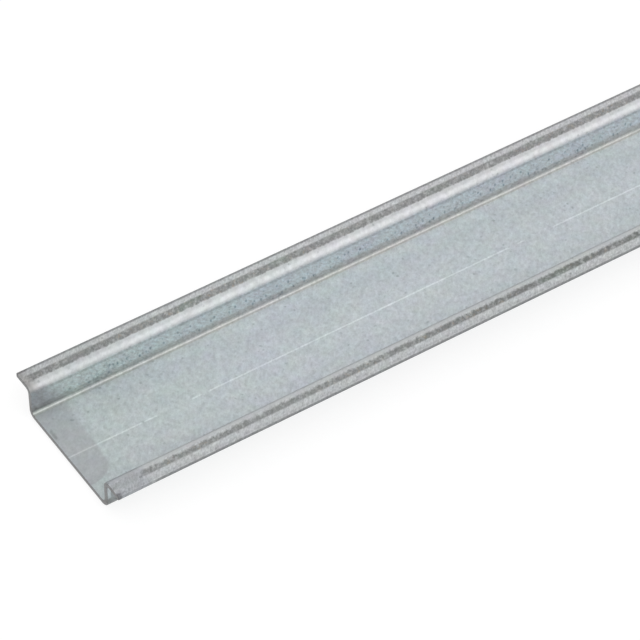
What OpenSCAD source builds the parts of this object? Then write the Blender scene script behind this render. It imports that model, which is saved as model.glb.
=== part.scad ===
// Top-hat mounting rail, 35 mm wide and 7.5 mm high, without slots.
// One strip of sheet steel is roll-formed into a shallow channel with an outward flange on each side.
// The origin is under the middle of the base. X runs along the rail, and the flanges are at the top.

/* [Rail] */
// Cut length of the rail
rail_len = 1000; // [100:10:2000]
// Overall width across both flanges
rail_w = 35; // [33:0.5:50]
// Overall height, from the underside of the base to the top of the flanges
rail_h = 7.5; // [6:0.5:15]
// Width of the channel across the outer faces of its walls
channel_w = 27; // [15:0.5:27]

/* [Sheet] */
// Thickness of the sheet
sheet_t = 1; // [0.8:0.1:1.2]
// Inside radius of the four bends
bend_r = 0.8; // [0.4:0.1:1]
// Rounding of the slit edges of the strip, at the tips of the flanges
edge_r = 0.15; // [0.05:0.05:0.3]

/* [Centre line] */
// Width of the fine groove along the middle of the base, by which holes are marked out
line_w = 0.3; // [0.2:0.05:1]
// Depth of that groove
line_d = 0.08; // [0.04:0.02:0.2]

/* [Hidden] */

// Segments in a full circle of a bend, and of an edge rounding
bend_fn = 48;
edge_fn = 24;
// How far a cutting shape reaches past the face that it cuts
cut_over = 1;

// Outside radius of the bends
bend_outer_r = bend_r + sheet_t;
// Outer face of the wall, from the middle of the rail
wall_y = channel_w / 2;
// Tip of the flange, from the middle of the rail
tip_y = rail_w / 2;
// Centre of the lower bend, which lies inside the channel
low_bend_y = wall_y - bend_outer_r;
low_bend_z = bend_outer_r;
// Centre of the upper bend, which lies outside the channel
high_bend_y = wall_y + bend_r;
high_bend_z = rail_h - bend_outer_r;

// A quarter of a bend about its own centre: the first quadrant, turned by angle
module bend(angle) {
    rotate(angle)
        intersection() {
            difference() {
                circle(r = bend_outer_r, $fn = bend_fn);
                circle(r = bend_r, $fn = bend_fn);
            }
            square(bend_outer_r + cut_over);
        }
}

// Flange seen from the end, from its bend at the origin to its rounded tip
module flange(width) {
    square([width - edge_r, sheet_t]);
    translate([0, edge_r])
        square([width, sheet_t - 2 * edge_r]);
    for (z = [edge_r, sheet_t - edge_r])
        translate([width - edge_r, z])
            circle(r = edge_r, $fn = edge_fn);
}

// Right half of the cross-section, with y to the right and z upwards
module half_section() {
    square([low_bend_y, sheet_t]);
    translate([low_bend_y, low_bend_z])
        bend(-90);
    translate([wall_y - sheet_t, low_bend_z])
        square([sheet_t, high_bend_z - low_bend_z]);
    translate([high_bend_y, high_bend_z])
        bend(90);
    translate([high_bend_y, rail_h - sheet_t])
        flange(tip_y - high_bend_y);
}

// V-shaped section of the centre line
module line_section() {
    polygon([
        [-line_w / 2, sheet_t + cut_over],
        [-line_w / 2, sheet_t],
        [0, sheet_t - line_d],
        [line_w / 2, sheet_t],
        [line_w / 2, sheet_t + cut_over]
    ]);
}

// Whole cross-section of the formed strip
module section() {
    difference() {
        union() {
            half_section();
            mirror([1, 0])
                half_section();
        }
        line_section();
    }
}

// The strip, cut square at both ends
module rail() {
    color("lightsteelblue")
        rotate([90, 0, 90])
            linear_extrude(height = rail_len, center = true)
                section();
}

rail();
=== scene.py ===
from math import cos, radians, sin
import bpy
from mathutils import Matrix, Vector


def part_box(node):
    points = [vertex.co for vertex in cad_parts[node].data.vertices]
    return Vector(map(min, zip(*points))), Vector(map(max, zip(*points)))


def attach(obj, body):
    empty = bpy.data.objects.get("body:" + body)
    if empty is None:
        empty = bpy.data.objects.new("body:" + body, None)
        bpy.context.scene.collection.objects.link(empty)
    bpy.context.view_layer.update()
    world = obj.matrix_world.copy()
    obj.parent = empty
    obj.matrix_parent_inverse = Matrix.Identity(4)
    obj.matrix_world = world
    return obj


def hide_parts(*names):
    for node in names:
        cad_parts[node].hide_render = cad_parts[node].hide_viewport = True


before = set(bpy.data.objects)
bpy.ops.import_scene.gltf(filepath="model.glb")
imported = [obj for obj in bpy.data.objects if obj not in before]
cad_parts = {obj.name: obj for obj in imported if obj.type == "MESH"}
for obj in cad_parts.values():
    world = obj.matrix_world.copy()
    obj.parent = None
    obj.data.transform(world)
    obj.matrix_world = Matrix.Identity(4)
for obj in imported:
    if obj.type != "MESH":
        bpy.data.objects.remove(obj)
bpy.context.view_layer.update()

from types import SimpleNamespace

import bpy
from mathutils import Matrix, Vector

mm = 0.001
close = 0.01 * mm  # places nearer than this count as one
railLow, railHigh = (Vector(corner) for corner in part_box("rail"))


class Value:  # one output socket, on which sums and products add Math nodes
    def __init__(self, shader, socket):
        self.shader = shader
        self.socket = socket

    def math(self, operation, first, second=0.0):
        return self.shader.node("ShaderNodeMath", {"operation": operation}, {0: first, 1: second})

    def __add__(self, other):
        return self.math("ADD", self, other)

    def __sub__(self, other):
        return self.math("SUBTRACT", self, other)

    def __rsub__(self, other):
        return self.math("SUBTRACT", other, self)

    def __mul__(self, other):
        return self.math("MULTIPLY", self, other)

    def __truediv__(self, other):
        return self.math("DIVIDE", self, other)

    def __neg__(self):
        return self.math("MULTIPLY", self, -1.0)

    def __abs__(self):
        return self.math("ABSOLUTE", self)

    __radd__ = __add__
    __rmul__ = __mul__

    def most(self, other):
        return self.math("MAXIMUM", self, other)

    def least(self, other):
        return self.math("MINIMUM", self, other)

    def root(self):
        return self.math("SQRT", self)

    def sway(self, amount):  # a noise turned into a swing to both sides of nothing
        return (self - 0.5) * amount


class Shader:  # a node tree, with one way to add any node
    def __init__(self, tree):
        self.tree = tree
        tree.nodes.clear()

    def node(self, kind, settings, sockets, output=0):
        made = self.tree.nodes.new(kind)
        for name, value in settings.items():
            setattr(made, name, value)
        for name, value in sockets.items():
            if isinstance(value, Value):
                self.tree.links.new(value.socket, made.inputs[name])
            else:
                made.inputs[name].default_value = value
        return Value(self, made.outputs[output]) if made.outputs else None

    def other(self, value, name):  # another output of the same node
        return Value(self, value.socket.node.outputs[name])

    def split(self, vector):
        x = self.node("ShaderNodeSeparateXYZ", {}, {0: vector}, "X")
        return x, self.other(x, "Y"), self.other(x, "Z")

    def vector(self, operation, sockets):
        return self.node("ShaderNodeVectorMath", {"operation": operation}, sockets)

    def rise(self, value, start, end):  # 0 below start, 1 above end, smooth between
        sockets = {"Value": value, "From Min": start, "From Max": end}
        return self.node("ShaderNodeMapRange", {"interpolation_type": "SMOOTHSTEP"}, sockets)

    def fall(self, value, start, end):
        return 1 - self.rise(value, start, end)

    def band(self, value, low, high, soft):
        return self.rise(value, low - soft, low + soft) * self.fall(value, high - soft, high + soft)

    def blend(self, amount, first, second):
        sockets = {"Factor": amount, 6: first, 7: second}
        return self.node("ShaderNodeMix", {"data_type": "RGBA"}, sockets, 2)

    def tint(self, amount, colour, factors):  # multiplies the colour by the factors
        sockets = {"Factor": amount, 6: colour, 7: (*factors, 1)}
        return self.node("ShaderNodeMix", {"data_type": "RGBA", "blend_type": "MULTIPLY"}, sockets, 2)

    def stretched(self, place, angles, factors):  # patterns grow by the factors along the turned axes
        sockets = {"Vector": place, "Rotation": [radians(angle) for angle in angles], "Scale": factors}
        return self.node("ShaderNodeMapping", {"vector_type": "TEXTURE"}, sockets)

    def noise(self, place, size, detail, rough, shift=(0.0, 0.0, 0.0)):
        moved = self.vector("ADD", {0: place, 1: shift})
        sockets = {"Vector": moved, "Scale": 1 / size, "Detail": detail, "Roughness": rough}
        return self.node("ShaderNodeTexNoise", {}, sockets)

    def cells(self, place, scale):  # distance from a cell's middle, and a chance number for each cell
        distance = self.node("ShaderNodeTexVoronoi", {}, {"Vector": place, "Scale": scale}, "Distance")
        return distance, self.other(distance, "Color")


view = {
    "place": (-204.697 * mm, -372.050 * mm, 484.356 * mm),  # from the middle of the cut end's foot
    "azimuth": -34.820,
    "elevation": 46.557,
    "roll": 1.391,
    "lens": 202.32,
    "filmWidth": 36,
    "clip": (0.01, 50),
}


def addCamera():
    azimuth, elevation, roll = (radians(view[name]) for name in ("azimuth", "elevation", "roll"))
    back = Vector((sin(azimuth) * cos(elevation), -cos(azimuth) * cos(elevation), sin(elevation)))
    right = Vector((0, 0, 1)).cross(back).normalized()
    up = back.cross(right)
    tiltRight = cos(roll) * right + sin(roll) * up
    tiltUp = -sin(roll) * right + cos(roll) * up
    x, y, z = view["place"]
    place = Vector((railLow.x + x, y, z))
    data = bpy.data.cameras.new("camera")
    data.sensor_width = view["filmWidth"]
    data.lens = view["lens"]
    data.clip_start, data.clip_end = view["clip"]
    camera = bpy.data.objects.new("camera", data)
    bpy.context.collection.objects.link(camera)
    camera.matrix_world = Matrix.Translation(place) @ Matrix((tiltRight, tiltUp, back)).transposed().to_4x4()
    bpy.context.scene.camera = camera
    print("camera placed")


sheet = {
    "thickness": 1.0 * mm,
    "channelWidth": 27.0 * mm,
    "topRadius": 0.8 * mm,
    "footRadius": {1: 0.40 * mm, -1: 1.1 * mm},  # tighter on the far side, fuller on the near one
    "bendSegments": 12,
    "stationGap": 10.0 * mm,
    "cutLean": 1.3,
    "lineWidth": 0.3 * mm,
    "lineDepth": 0.03 * mm,
    "edgeBevel": 0.12 * mm,
    "edgeSegments": 3,
    "squareEdge": 60,  # edges that turn more than this, in degrees, are bevelled
    "smoothEdge": 20,  # edges that turn less than this are shaded smooth
    "mapName": "OFBake",
    "mapPieces": 9,
    "mapGap": 0.002,
    "endFacing": 0.7,
}


def select(mesh, kind, test):  # the vertices, edges or faces that pass the test, and nothing else
    bpy.ops.object.mode_set(mode="OBJECT")
    for part in (*mesh.vertices, *mesh.edges, *mesh.polygons):
        part.select = False
    for part in {"VERT": mesh.vertices, "EDGE": mesh.edges, "FACE": mesh.polygons}[kind]:
        part.select = test(part)
    bpy.ops.object.mode_set(mode="EDIT")
    bpy.ops.mesh.select_mode(type=kind)


def selectEdges(mesh, test):  # the test is given the places of both ends
    select(mesh, "EDGE", lambda edge: test(*(mesh.vertices[i].co for i in edge.vertices)))


def selectVertices(mesh, test):
    select(mesh, "VERT", lambda vertex: test(vertex.co))


def addRail():  # one strip down the middle of the sheet, folded, rounded and thickened
    length = railHigh.x - railLow.x
    t = sheet["thickness"]
    wallY = sheet["channelWidth"] / 2 - t / 2
    tipY = railHigh.y
    topZ = railHigh.z - t / 2

    bpy.ops.object.select_all(action="DESELECT")
    bpy.ops.mesh.primitive_plane_add(size=1, location=(0, 0, t / 2))
    rail = bpy.context.object
    rail.name = "formedRail"
    rail.scale = (length, 2 * wallY, 1)
    bpy.ops.object.transform_apply(location=True, rotation=False, scale=True)
    mesh = rail.data

    def lengthwise(a, b):
        return abs(a.x - b.x) > length / 2

    for side in (-1, 1):  # the wall, then the flange
        selectEdges(mesh, lambda a, b: lengthwise(a, b) and side * a.y > wallY - close)
        bpy.ops.mesh.extrude_region_move(TRANSFORM_OT_translate={"value": (0, 0, topZ - t / 2)})
        bpy.ops.mesh.extrude_region_move(TRANSFORM_OT_translate={"value": (0, side * (tipY - wallY), 0)})
    for side in (-1, 1):
        for z, radius in ((t / 2, sheet["footRadius"][side]), (topZ, sheet["topRadius"])):
            corner = Vector((0, side * wallY, z))
            selectEdges(mesh, lambda a, b: lengthwise(a, b) and (a - corner).yz.length < close)
            bpy.ops.mesh.bevel(offset=radius + t / 2, offset_type="OFFSET", segments=sheet["bendSegments"])

    selectEdges(mesh, lengthwise)
    bpy.ops.mesh.subdivide(number_cuts=round(length / sheet["stationGap"]) - 1)
    bpy.ops.mesh.select_all(action="SELECT")
    bpy.ops.mesh.normals_make_consistent(inside=False)
    bpy.ops.object.mode_set(mode="OBJECT")
    if sum(face.normal.z for face in mesh.polygons) < 0:
        mesh.flip_normals()

    thicken = rail.modifiers.new("thicken", "SOLIDIFY")
    thicken.thickness = t
    thicken.offset = 0
    thicken.use_even_offset = True
    bpy.ops.object.modifier_apply(modifier=thicken.name)
    print("rail mesh", len(mesh.polygons), "faces")
    return rail


def drawLine(mesh):  # the shallow groove along the middle of the base
    half = sheet["lineWidth"] / 2
    bpy.ops.object.mode_set(mode="EDIT")
    for y in (-half, 0, half):
        bpy.ops.mesh.select_all(action="SELECT")
        bpy.ops.mesh.bisect(plane_co=(0, y, 0), plane_no=(0, 1, 0))
    selectVertices(mesh, lambda co: abs(co.y) < close and abs(co.z - sheet["thickness"]) < close)
    bpy.ops.transform.translate(value=(0, 0, -sheet["lineDepth"]))


def leanCut(mesh):  # the cut end leans back a little under the flanges
    selectVertices(mesh, lambda co: co.x < railLow.x + close)
    crown = (railLow.x, 0, railHigh.z)
    bpy.ops.transform.rotate(value=radians(sheet["cutLean"]), orient_axis="Y", center_override=crown)


def breakEdges(rail):
    bpy.ops.object.mode_set(mode="OBJECT")
    edge = rail.modifiers.new("edge", "BEVEL")
    edge.width = sheet["edgeBevel"]
    edge.segments = sheet["edgeSegments"]
    edge.limit_method = "ANGLE"
    edge.angle_limit = radians(sheet["squareEdge"])
    bpy.ops.object.modifier_apply(modifier=edge.name)
    bpy.ops.object.shade_smooth_by_angle(angle=radians(sheet["smoothEdge"]))
    normals = rail.modifiers.new("normals", "WEIGHTED_NORMAL")  # keeps the flats flat up to their bends
    normals.keep_sharp = True
    normals.weight = 100
    bpy.ops.object.modifier_apply(modifier=normals.name)


def mapRail(mesh):  # cuts the skin into short lengths, laid side by side on the map
    mesh.uv_layers.active.name = sheet["mapName"]
    share = (railHigh.x - railLow.x) / sheet["mapPieces"]
    stations = {vertex.co.x for vertex in mesh.vertices}
    wanted = [railLow.x + share * i for i in range(1, sheet["mapPieces"])]
    cuts = [min(stations, key=lambda x: abs(x - cut)) for cut in wanted]
    under = railHigh.z - sheet["thickness"] + 2 * sheet["edgeBevel"]

    def onRing(a, b):
        return abs(a.x - b.x) < close and min(abs(a.x - x) for x in cuts) < close

    def onSlit(a, b):  # the lower edge of one tip, which at the ends runs round the bevelled corner
        reach = close if abs(a.x - b.x) > mm else 2 * sheet["edgeBevel"]
        atTip = min(a.y, b.y) > railHigh.y - reach and max(a.z, b.z) < under
        return atTip and abs(a.x - b.x) > (a - b).yz.length

    for test in (onRing, onSlit):
        selectEdges(mesh, test)
        bpy.ops.mesh.mark_seam()
    select(mesh, "FACE", lambda face: abs(face.normal.x) > sheet["endFacing"])
    bpy.ops.mesh.region_to_loop()
    bpy.ops.mesh.mark_seam()
    bpy.ops.mesh.select_all(action="SELECT")
    bpy.ops.uv.unwrap(method="ANGLE_BASED", margin=sheet["mapGap"])
    bpy.ops.uv.average_islands_scale()
    bpy.ops.uv.pack_islands(rotate=False, margin=sheet["mapGap"])
    bpy.ops.object.mode_set(mode="OBJECT")


def finishRail(rail):
    drawLine(rail.data)
    leanCut(rail.data)
    breakEdges(rail)
    mapRail(rail.data)
    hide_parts("rail")
    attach(rail, "root")
    print("rail finished", len(rail.data.polygons), "faces")


# the finish: four numbers are a colour, three multiply the colour beneath
zinc = {
    "base": (0.562, 0.611, 0.631, 1),
    "flange": (0.556, 0.578, 0.586, 1),
    "wall": (0.588, 0.632, 0.642, 1),
    "skinAndSheen": (0.614, 0.642, 0.650, 1),  # stretched round the far bend, lighter and more neutral as a painted highlight
    "cutSteel": (0.198, 0.199, 0.202, 1),
    "endBase": (0.428, 0.454, 0.470, 1),
    "endWall": (0.354, 0.362, 0.384, 1),
    "outside": (0.330, 0.350, 0.368, 1),  # painted shade on the outer sides of the walls, under the flanges
    "endTop": (0.74, 0.705, 0.70),
    "cool": (0.965, 0.99, 1.03),  # near flange by the cut
    # painted light on the outer side of the walls by the cut
    "paintedLitPatch": (1.75, 1.78, 1.82),
    "paintedLight": (1.15, 1.14, 1.12),  # painted light on the base towards the far wall
    "young": (0.94, 0.94, 0.935),  # duller towards the cut ends
    "blue": (0.997, 0.987, 1.028),
    "green": (0.97, 1.00, 0.98),
    "moss": (0.94, 1.01, 0.95),
    "rose": (1.025, 1.00, 1.01),
    "rubbed": (0.50, 0.50, 0.49),
    "rust": (1.12, 0.98, 0.86),
    "dark": (0.50, 0.50, 0.50),
    # a brown tint and painted shade at the walls' foot
    "brownAndShade": (0.54, 0.50, 0.465),
    # painted shade and a warmer painted reflection on the foot bend
    "footLine": (0.925, 0.898, 0.868),
    "peach": (1.02, 0.985, 0.97),
    # painted light, a little warmer, by the far wall's foot
    "warmLight": (1.12, 1.11, 1.10),
    "drip": (0.54, 0.61, 0.64),
    "teal": (0.965, 1.00, 1.01),
    "deep": (0.982, 0.974, 1.003),
    "violet": (1.015, 0.97, 1.01),
    # the centre line: partly bare metal, partly a painted highlight
    "line": (1.25, 1.24, 1.23),
    "speck": (0.55, 0.58, 0.57),
    "hue": 0.085,  # how far the hue wanders
    "hueScale": 0.4,
    "hueDetail": 2.0,
    "metallic": 0.45,
    "roughness": 0.37,
    "wornRough": 0.2,
    "bumpStrength": 0.15,
    "bumpDepth": 0.02 * mm,
}

# size in mm, detail, roughness and shift of the even noises
evenNoises = {
    "grain": (0.7, 3.0, 0.6),
    "cloud": (2.4, 3.0, 0.55),
    "patch": (7.0, 2.0, 0.5),
    "drift": (12.0, 2.0, 0.5, (40.0, 7.0, 3.0)),
    "lump": (1.2, 1.0, 0.4, (0.0, 3.0, 8.0)),
}

# the same for the drawn-out noises, after their turn in degrees and their stretch
drawnNoises = {
    "crackle": ((0, 0, 55), (1.35, 1.0, 1.0), 0.75, 3.0, 0.7),
    "scratch": ((0, 0, 52), (2.2, 1.0, 1.0), 0.5, 3.0, 0.65, (5.0, 0.0, 0.0)),
    "blotch": ((0, 0, 60), (1.3, 1.0, 1.0), 0.85, 3.0, 0.65, (0.0, 9.0, 0.0)),
    "fine": ((0, 0, 50), (2.0, 1.0, 1.0), 0.28, 2.0, 0.6, (2.0, 5.0, 0.0)),
    "hatch": ((0, 40, 0), (2.2, 1.0, 0.8), 0.6, 3.0, 0.6),
    "streak": ((0, -14, 0), (0.8, 1.0, 1.5), 0.7, 2.0, 0.55),
}

# the parts of the section in mm: heights from the floor, and distances out from the middle
# here and below, a pair is where something begins and is full, and a third number softens a band
parts = {
    "nearSide": (-1.0, 1.0),
    "top": (6.2, 6.9),
    "aboveBase": (1.1, 1.9),
    "upperFace": (0.6, 0.8),
    "baseEdge": (11.7, 11.9),
    "wallMiddle": (12.8, 13.2),
    "bend": (12.6, 14.25, 0.12),
    "bendHeight": (6.2, 6.6),
    "inward": (12.0, 48.0),
    "drifting": 30,
}


def railPlaces(s):  # what the marks are placed by: distances in mm, parts of the section and noises
    at = SimpleNamespace()
    metres = s.node("ShaderNodeTexCoord", {}, {}, "Object")
    at.place = s.vector("SCALE", {0: metres, "Scale": 1 / mm})
    along, at.across, at.height = s.split(at.place)
    at.out = abs(at.across)
    at.fromEnd = railHigh.x / mm - abs(along)
    for name, settings in evenNoises.items():
        setattr(at, name, s.noise(at.place, *settings))
    for name, (turn, stretch, *settings) in drawnNoises.items():
        setattr(at, name, s.noise(s.stretched(at.place, turn, stretch), *settings))
    at.near = s.rise(-at.across, *parts["nearSide"])
    at.far = 1 - at.near
    at.top = s.rise(at.height, *parts["top"])
    at.low = s.fall(at.height, *parts["aboveBase"])
    at.wall = (1 - at.top) * (1 - at.low)
    at.face = s.rise(at.height, *parts["upperFace"]) * at.low
    at.base = at.low * s.fall(at.out, *parts["baseEdge"])
    at.inside = s.fall(at.out, *parts["wallMiddle"])
    at.bend = s.band(at.out, *parts["bend"]) * s.rise(at.height, *parts["bendHeight"])
    at.farBend = at.bend * at.far
    at.drifting = at.fromEnd + at.drift.sway(parts["drifting"])
    at.inward = s.rise(at.drifting, *parts["inward"])
    return at


plated = {
    "calm": (50.0, 66.0),
    "calmed": 0.5,
    "blue": (0.50, 0.70),
    "blueInward": (0.20, 0.07),
    "green": (0.42, 0.62),
    "greenInward": 0.08,
    "moss": 0.35,
    "paintedLight": (6.5, 12.5),
    "young": (2.0, 42.0),
    "rose": (50.0, 74.0),
    "farYoung": (13.0, 27.0),
    "drifting": 20,
}


def plating(s, at):  # the plate of each part, with large, faint changes of hue, painted light on the base towards the far wall, and a painted highlight on the far bend
    colour = s.blend(at.top, zinc["base"], zinc["flange"])
    colour = s.blend(at.wall, colour, zinc["wall"])
    calm = 1 - s.rise(at.drifting, *plated["calm"]) * plated["calmed"]
    more, less = plated["blueInward"]
    blue = s.rise(at.patch + at.inward * more - less, *plated["blue"])
    colour = s.tint(blue * at.low * calm, colour, zinc["blue"])
    green = s.rise(at.drift - at.inward * plated["greenInward"], *plated["green"])
    colour = s.tint(green * (1 - at.top) * calm, colour, zinc["green"])
    colour = s.tint((1 - at.inward) * at.wall * plated["moss"], colour, zinc["moss"])
    # painted light on the base towards the far wall
    colour = s.tint(s.rise(at.across, *plated["paintedLight"]) * at.face, colour, zinc["paintedLight"])
    drifting = at.fromEnd + at.drift.sway(plated["drifting"])
    colour = s.tint(s.fall(drifting, *plated["young"]) * at.low, colour, zinc["young"])
    # the far bend's stretched skin, which is also a painted highlight
    colour = s.blend(at.farBend, colour, zinc["skinAndSheen"])
    colour = s.tint(s.rise(drifting, *plated["rose"]) * at.top * at.far, colour, zinc["rose"])
    return s.tint(s.fall(at.fromEnd, *plated["farYoung"]) * at.top * at.far, colour, zinc["young"])


bendShades = {
    "under": (5.95, 6.35, 0.15),
    "underDark": 0.36,
    "crest": (12.4, 13.5, 0.25),
    "crestHeight": (5.5, 6.5),
    "crestDark": 0.33,
}


def bendShadeLines(s, at, colour):  # painted shade: darker lines under the far bend and over the near one
    under = s.band(at.height, *bendShades["under"]) * at.far
    colour = s.tint(under * bendShades["underDark"], colour, zinc["dark"])
    crest = s.band(at.out, *bendShades["crest"]) * s.rise(at.height, *bendShades["crestHeight"]) * at.near
    return s.tint(crest * bendShades["crestDark"], colour, zinc["dark"])


# the greyer finish near the cut ends: how far it reaches in mm, and how strong it is
dulled = {
    "base": 6.0,
    "baseSlant": 0.05,
    "cornerStart": 4.5,
    "cornerRadius": 3.2,
    "wall": 6.6,
    "wallSlant": 0.45,
    "farFlange": 1.8,
    "nearFlange": 5.0,  # further than the far one by this
    "sway": 1.0,
    "soft": 0.55,
    "softWall": 2.6,
    "softFoot": 1.3,
    "foot": (7.0, 12.0),
    "baseStrength": 0.92,
    "lessFar": 0.35,
    "far": (3.0, 11.0),
    "wallStrength": 0.9,
    "lessNear": 0.35,
    "bendEnd": (0.5, 1.3),
    "bendDark": 0.3,
}


def dullEnds(s, at, colour):
    corner = (-at.across - dulled["cornerStart"]).most(0.0) / dulled["cornerRadius"]
    rounded = (1 - corner * corner).most(0.0).root()
    baseReach = (dulled["base"] + at.across * dulled["baseSlant"]) * rounded
    wallReach = dulled["wall"] - at.height * dulled["wallSlant"]
    flangeReach = dulled["farFlange"] + at.near * dulled["nearFlange"]
    reach = baseReach + (wallReach - baseReach) * at.wall
    reach = reach + (flangeReach - reach) * at.top
    foot = s.rise(at.across, *dulled["foot"]) * at.low
    spread = dulled["soft"] + at.wall * dulled["softWall"] + at.top + foot * dulled["softFoot"]
    at.ends = s.fall((at.fromEnd + at.cloud.sway(dulled["sway"]) - reach) / spread, -1.0, 1.0)
    strength = dulled["baseStrength"] - s.rise(at.across, *dulled["far"]) * dulled["lessFar"]
    colour = s.blend(at.ends * at.base * strength, colour, zinc["endBase"])
    colour = s.blend(at.ends * at.wall * at.inside * dulled["wallStrength"], colour, zinc["endWall"])
    colour = outerWalls(s, at, colour)
    colour = s.tint(at.ends * at.top * (1 - at.near * dulled["lessNear"]), colour, zinc["endTop"])
    colour = s.tint(at.ends * at.top * at.near, colour, zinc["cool"])
    bendEnd = s.fall(at.fromEnd, *dulled["bendEnd"]) * at.farBend
    return s.tint(bendEnd * dulled["bendDark"], colour, zinc["dark"])


outer = {
    "underFlange": (14.0, 14.3),
    "strength": 0.85,
    "fade": (2.0, 9.0),
    "faded": 0.4,
    "paintedLitPatch": (0.25, 0.85, 0.15),
    "paleHeight": (3.0, 6.0, 0.5),
    "spotHeight": (1.3, 2.1),
    "spotSway": 2.5,
    "spotReach": (3.0, 6.0),
    "spotDark": 0.85,
}


def outerWalls(s, at, colour):  # painted shade on the outer side of the walls under the flanges, a painted patch of light on it by the cut, and darker towards the bottom by the cut
    outside = (1 - at.inside) * s.fall(at.out, *outer["underFlange"]) * (1 - at.top)
    strength = outer["strength"] - s.rise(at.fromEnd, *outer["fade"]) * outer["faded"]
    colour = s.blend(outside * strength, colour, zinc["outside"])
    # painted light: a lit patch on the outer wall just by the cut
    paintedLitPatch = s.band(at.fromEnd, *outer["paintedLitPatch"]) * s.band(at.height, *outer["paleHeight"])
    colour = s.tint(outside * paintedLitPatch, colour, zinc["paintedLitPatch"])
    ragged = at.height + at.grain.sway(outer["spotSway"])
    spots = s.fall(ragged, *outer["spotHeight"]) * s.fall(at.fromEnd, *outer["spotReach"])
    return s.tint(outside * spots * outer["spotDark"], colour, zinc["dark"])


smudged = {
    "across": (4.8, 7.4, 0.4),
    "acrossSway": 3,
    "fromEnd": (0.5, 1.1, 0.2),
    "endSway": 0.8,
    "strength": 0.6,
}


def smudge(s, at, colour):  # one dark mark on the base by the cut
    across = s.band(at.across + at.cloud.sway(smudged["acrossSway"]), *smudged["across"])
    fromEnd = s.band(at.fromEnd + at.grain.sway(smudged["endSway"]), *smudged["fromEnd"])
    return s.tint(across * fromEnd * at.face * smudged["strength"], colour, zinc["dark"])


stripes = {
    "ragged": 0.7,
    "far": (14.32, 15.90, 0.25),
    "nearInner": (14.25, 15.0),
    "nearOuter": (15.6, 16.1),
    "start": (0.3, 2.6),
    "startSway": 3,
    "nearLater": 5.0,
    "nearTrace": 0.2,
    "wear": 0.94,
    "wearClouds": 0.5,
    "wearBlotches": 3.0,
    "wearScratches": 0.8,
    "darker": (45.0, 90.0),
    "darkerBy": 0.42,
    "rust": (0.52, 0.7),
    "rustPlaces": (0.4, 0.6),
    "moss": (0.5, 0.7),
    "nearTop": 0.04,
}


def rubbedStripes(s, at, colour):  # dark where devices have slid along the top of each flange
    ragged = at.out + at.blotch.sway(stripes["ragged"])
    far = s.band(ragged, *stripes["far"])
    near = s.rise(ragged, *stripes["nearInner"]) * s.fall(ragged, *stripes["nearOuter"])
    fromStart = at.fromEnd + at.cloud.sway(stripes["startSway"]) - at.near * stripes["nearLater"]
    start = s.rise(fromStart, *stripes["start"]).most(at.near * stripes["nearTrace"])
    wear = stripes["wear"] + at.cloud.sway(stripes["wearClouds"]) + at.blotch.sway(stripes["wearBlotches"])
    wear = wear + at.scratch.sway(stripes["wearScratches"])
    at.stripe = (far * at.far + near * at.near) * at.top * start * wear
    colour = s.tint(at.stripe, colour, zinc["rubbed"])
    darker = s.rise(at.fromEnd, *stripes["darker"]) * stripes["darkerBy"]
    colour = s.tint(at.stripe * at.near * darker, colour, zinc["rubbed"])
    rust = s.rise(at.crackle, *stripes["rust"]) * s.rise(at.drift, *stripes["rustPlaces"])
    colour = s.tint(at.stripe * rust, colour, zinc["rust"])
    colour = s.tint(at.stripe * s.rise(at.patch, *stripes["moss"]), colour, zinc["moss"])
    return s.tint(at.near * at.top * stripes["nearTop"], colour, zinc["dark"])


edges = {
    "farTip": (16.8, 17.15),
    "tipSway": 0.3,
    "nearTip": (16.75, 17.15),
    "nearTipDark": 0.26,
    "slit": (17.25, 17.4),
    "slitHeight": (6.98, 7.66),
    "slitSway": 0.2,
    "dark": 0.95,
    "lighter": 0.75,
    "lighterReach": (5.0, 10.0),
    "lighterSway": 6,
    "burr": (16.5, 16.9),
    "burrSway": 0.6,
    "burrReach": (0.5, 1.0),
    "cutFacing": (0.5, 0.8),
    "cutReach": (0.3, 0.5),
}


def cutEdges(s, at, colour):  # slit edges, the burr at the near corner and the cut ends
    farTip = s.rise(at.out + at.grain.sway(edges["tipSway"]), *edges["farTip"])
    slitHeight = s.fall(at.height + at.grain.sway(edges["slitSway"]), *edges["slitHeight"])
    slit = slitHeight * s.rise(at.out, *edges["slit"])
    nearTip = (s.rise(at.out, *edges["nearTip"]) * edges["nearTipDark"]).most(slit)
    at.tip = farTip * at.far + nearTip * at.near
    byCut = s.fall(at.fromEnd + at.cloud.sway(edges["lighterSway"]), *edges["lighterReach"])
    strength = edges["dark"] - at.near * byCut * edges["lighter"]
    colour = s.tint(at.tip * strength, colour, zinc["dark"])
    burr = s.rise(-at.across + at.grain.sway(edges["burrSway"]), *edges["burr"])
    colour = s.tint(burr * s.fall(at.fromEnd, *edges["burrReach"]), colour, zinc["dark"])
    facing = s.split(s.node("ShaderNodeTexCoord", {}, {}, "Normal"))[0]
    cut = s.rise(abs(facing), *edges["cutFacing"]) * s.fall(at.fromEnd, *edges["cutReach"])
    return s.blend(cut, colour, zinc["cutSteel"])


feet = {
    "above": (1.38, 1.56),
    "height": (2.4, 3.1),
    "sway": 0.8,
    "out": (12.15, 12.35),
    "brownAndShade": 0.45,
    "crease": (1.46, 1.95, 0.1),
    "creaseDark": 0.34,
    "creaseInward": 0.2,
    "fade": (1.9, 5.0),
    "fadeDark": 0.12,
    "arc": (11.75, 12.8, 0.1),
    "dipShade": (11.75, 12.05, 0.1),
    "dipShadeDark": 0.16,
    "warmStart": (7.5, 11.6),
    "warmEnd": (11.85, 12.0),
}


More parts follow.
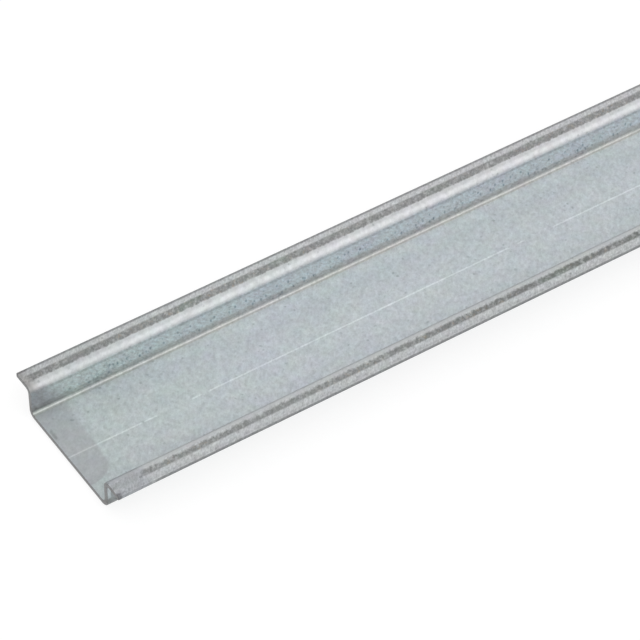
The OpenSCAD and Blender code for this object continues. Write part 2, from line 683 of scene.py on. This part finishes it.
def wallFeet(s, at, colour):  # the walls' foot: a brown tint deepened as painted shade, painted shade in the crease and beside the foot bend, painted shade and a warmer painted reflection on the foot bend, and painted light on the base by the far wall
    above = s.rise(at.height, *feet["above"])
    ragged = s.fall(at.height + at.cloud.sway(feet["sway"]), *feet["height"])
    foot = ragged * s.rise(at.out, *feet["out"]) * above
    # a brown tint that is also painted shade at the foot of the walls
    colour = s.tint(foot * feet["brownAndShade"], colour, zinc["brownAndShade"])
    # painted shade in the crease just above the foot bend
    creaseDark = feet["creaseDark"] - at.inward * feet["creaseInward"]
    crease = s.band(at.height, *feet["crease"]) * at.inside * creaseDark
    colour = s.tint(crease, colour, zinc["dark"])
    # painted shade, darker towards the foot of the walls
    colour = s.tint(s.fall(at.height, *feet["fade"]) * at.wall * feet["fadeDark"], colour, zinc["dark"])
    # painted shade and a warmer painted reflection on the foot bend
    arc = s.band(at.out, *feet["arc"]) * (1 - above) * at.face
    colour = s.tint(arc, colour, zinc["footLine"])
    # a peach hue on the foot and on the painted reflection of the foot bend, further from the cut
    colour = s.tint((foot + arc).least(1.0) * at.inward, colour, zinc["peach"])
    # painted shade beside the foot bend, near the cut
    dipShade = s.band(at.out, *feet["dipShade"]) * at.face
    colour = s.tint(dipShade * (1 - at.inward) * feet["dipShadeDark"], colour, zinc["dark"])
    # painted light, a little warmer, on the base by the far wall's foot
    warmLight = s.rise(at.across, *feet["warmStart"]) * s.fall(at.across, *feet["warmEnd"])
    return s.tint(warmLight * at.face * at.inward, colour, zinc["warmLight"])


drips = {
    "later": (3.0, 14.0),
    "lower": (2.6, 5.6),
    "lowerMore": 0.08,
    "patches": 0.3,
    "drip": (0.60, 0.76),
    "strength": 0.55,
    "dashTurn": (0, -14, 0),
    "dashStretch": (1.0, 1.0, 1.8),
    "dashScale": 1.1,
    "dash": (0.12, 0.34),
    "dashSway": 0.3,
    "dashChance": (0.36, 0.52),
    "chanceSway": 0.6,
    "dashHeight": (2.2, 5.0, 0.5),
    "hatch": (0.42, 0.62),
    "deep": (18.0, 40.0),
    "deepSway": 40,
    "violet": (0.50, 0.66),
    "violetSway": 0.3,
}


def wallMarks(s, at, colour):  # short drips, dashes and hatching down the walls
    later = s.rise(at.fromEnd, *drips["later"])
    lower = s.fall(at.height, *drips["lower"]) * drips["lowerMore"]
    drip = s.rise(at.streak + lower + at.patch.sway(drips["patches"]), *drips["drip"]) * at.wall
    colour = s.tint(drip * later * drips["strength"], colour, zinc["drip"])
    dashPlace = s.stretched(at.place, drips["dashTurn"], drips["dashStretch"])
    middle, chance = s.cells(dashPlace, drips["dashScale"])
    dash = s.fall(middle + at.grain.sway(drips["dashSway"]), *drips["dash"])
    dash = dash * s.rise(chance + at.cloud.sway(drips["chanceSway"]), *drips["dashChance"])
    dash = dash * s.band(at.height, *drips["dashHeight"]) * at.wall * later
    colour = s.tint(dash, colour, zinc["drip"])
    colour = s.tint(s.rise(at.hatch, *drips["hatch"]) * at.wall, colour, zinc["teal"])
    deep = s.rise(at.fromEnd + at.drift.sway(drips["deepSway"]), *drips["deep"])
    colour = s.tint(deep * at.wall, colour, zinc["deep"])
    violet = s.rise(at.patch + at.cloud.sway(drips["violetSway"]), *drips["violet"])
    return s.tint(violet * at.wall * at.inward, colour, zinc["violet"])


marking = {
    "width": (0.1, 0.24),
    "gaps": ((18.9, 26.2), (28.4, 29.8), (96.8, 99.2), (100.6, 107.5)),  # mm from the end
    "gapSoft": 0.4,
}


def centreLine(s, at, colour):  # brighter along the groove: partly bare metal where the groove breaks the zinc, partly a painted highlight where it catches the light
    drawn = s.fall(at.out, *marking["width"])
    for start, end in marking["gaps"]:
        drawn = drawn * (1 - s.band(at.fromEnd, start, end, marking["gapSoft"]))
    return s.tint(drawn * at.face, colour, zinc["line"])


specks = {
    "shift": (3.7, 1.9, 0.0),
    "scale": 0.95,
    "size": (0.04, 0.36),
    "sizeSway": 0.7,
    "chance": (0.74, 0.90),
    "patches": 1.6,
    "clouds": 0.8,
    "strength": 0.55,
}


def addSpecks(s, at, colour):  # thicker in some places than in others
    middle, chance = s.cells(s.vector("ADD", {0: at.place, 1: specks["shift"]}), specks["scale"])
    speck = s.fall(middle + at.grain.sway(specks["sizeSway"]), *specks["size"])
    chance = chance + at.patch.sway(specks["patches"]) + at.cloud.sway(specks["clouds"])
    at.speck = speck * s.rise(chance, *specks["chance"])
    return s.tint(at.speck * specks["strength"], colour, zinc["speck"])


# how strongly each noise lightens and darkens the zinc
grains = {
    "crackle": 0.70,
    "crackleBend": 0.40,
    "crackleEnds": 0.30,
    "cloud": 0.1,
    "grain": 0.2,
    "hatch": 0.85,
    "scratch": 0.8,
    "lump": 0.36,
    "fine": 0.22,
    "fineTop": 0.5,
    "roughCloud": 0.08,
}


def addGrain(s, at, colour):
    flatTop = at.top * (1 - at.bend)
    crackle = grains["crackle"] - at.bend * grains["crackleBend"] - at.ends * at.base * grains["crackleEnds"]
    shade = 1 + at.crackle.sway(crackle) + at.cloud.sway(grains["cloud"]) + at.grain.sway(grains["grain"])
    shade = shade + at.hatch.sway(at.wall) * grains["hatch"] + at.scratch.sway(flatTop) * grains["scratch"]
    shade = shade + at.lump.sway(at.farBend) * grains["lump"]
    shade = shade + at.fine.sway(grains["fine"] + flatTop * grains["fineTop"])
    colour = s.vector("SCALE", {0: colour, "Scale": shade})
    sockets = {"Vector": at.place, "Scale": zinc["hueScale"], "Detail": zinc["hueDetail"]}
    hues = s.node("ShaderNodeTexNoise", {}, sockets, "Color")
    even = 1 - zinc["hue"] / 2
    hues = s.vector("MULTIPLY_ADD", {0: hues, 1: (zinc["hue"],) * 3, 2: (even,) * 3})
    return s.vector("MULTIPLY", {0: colour, 1: hues})


def zincPlate():
    material = bpy.data.materials.new("zincPlate")
    material.use_nodes = True
    s = Shader(material.node_tree)
    at = railPlaces(s)
    colour = plating(s, at)
    layers = (
        bendShadeLines, dullEnds, smudge, rubbedStripes, cutEdges,
        wallFeet, wallMarks, centreLine, addSpecks, addGrain,
    )
    for layer in layers:
        colour = layer(s, at, colour)
    worn = (at.stripe + at.speck + at.tip).least(1.0)
    roughness = zinc["roughness"] + worn * zinc["wornRough"] + at.cloud.sway(grains["roughCloud"])
    relief = {"Strength": zinc["bumpStrength"], "Distance": zinc["bumpDepth"], "Height": at.grain}
    bump = s.node("ShaderNodeBump", {}, relief)
    sockets = {"Base Color": colour, "Metallic": zinc["metallic"], "Roughness": roughness, "Normal": bump}
    surface = s.node("ShaderNodeBsdfPrincipled", {}, sockets)
    s.node("ShaderNodeOutputMaterial", {}, {"Surface": surface})
    print("zinc plate mixed,", len(material.node_tree.nodes), "nodes")
    return material


studio = {
    "floorSize": 12.0,
    "floorColour": (0.25, 0.25, 0.25, 1),
    "floorGlow": 0.80,
    "skyColour": (0.8, 0.8, 0.8, 1),
    "skyStrength": 1.0,
    "softboxPlace": (0.0, -1.36, 1.74),
    "softboxSize": (4.0, 2.1),
    "softboxPower": 17.5,
}


def addFloor():  # pale to the camera and in reflections, and otherwise matt, so that it keeps a shadow
    bpy.ops.object.select_all(action="DESELECT")
    bpy.ops.mesh.primitive_plane_add(size=studio["floorSize"], location=(0, 0, railLow.z))
    floor = bpy.context.object
    floor.name = "studioFloor"
    material = bpy.data.materials.new("whiteFloor")
    material.use_nodes = True
    s = Shader(material.node_tree)
    cameraRay = s.node("ShaderNodeLightPath", {}, {}, "Is Camera Ray")
    seen = cameraRay + s.other(cameraRay, "Is Glossy Ray")
    glow = s.node("ShaderNodeEmission", {}, {"Strength": seen * studio["floorGlow"]})
    matt = s.node("ShaderNodeBsdfDiffuse", {}, {"Color": studio["floorColour"]})
    both = s.node("ShaderNodeAddShader", {}, {0: matt, 1: glow})
    s.node("ShaderNodeOutputMaterial", {}, {"Surface": both})
    floor.data.materials.append(material)
    print("floor laid")


def addLight():  # an even sky, and one large softbox over the near side
    world = bpy.data.worlds.new("studio")
    world.use_nodes = True
    bpy.context.scene.world = world
    s = Shader(world.node_tree)
    sky = {"Color": studio["skyColour"], "Strength": studio["skyStrength"]}
    s.node("ShaderNodeOutputWorld", {}, {"Surface": s.node("ShaderNodeBackground", {}, sky)})
    data = bpy.data.lights.new("softbox", "AREA")
    data.shape = "RECTANGLE"
    data.size, data.size_y = studio["softboxSize"]
    data.energy = studio["softboxPower"]
    softbox = bpy.data.objects.new("softbox", data)
    bpy.context.collection.objects.link(softbox)
    place = Vector(studio["softboxPlace"])
    softbox.matrix_world = Matrix.Translation(place) @ place.to_track_quat("Z", "Y").to_matrix().to_4x4()
    print("light set")


addCamera()
rail = addRail()
finishRail(rail)
rail.data.materials.append(zincPlate())
addFloor()
addLight()
bpy.context.scene.view_settings.view_transform = "Standard"
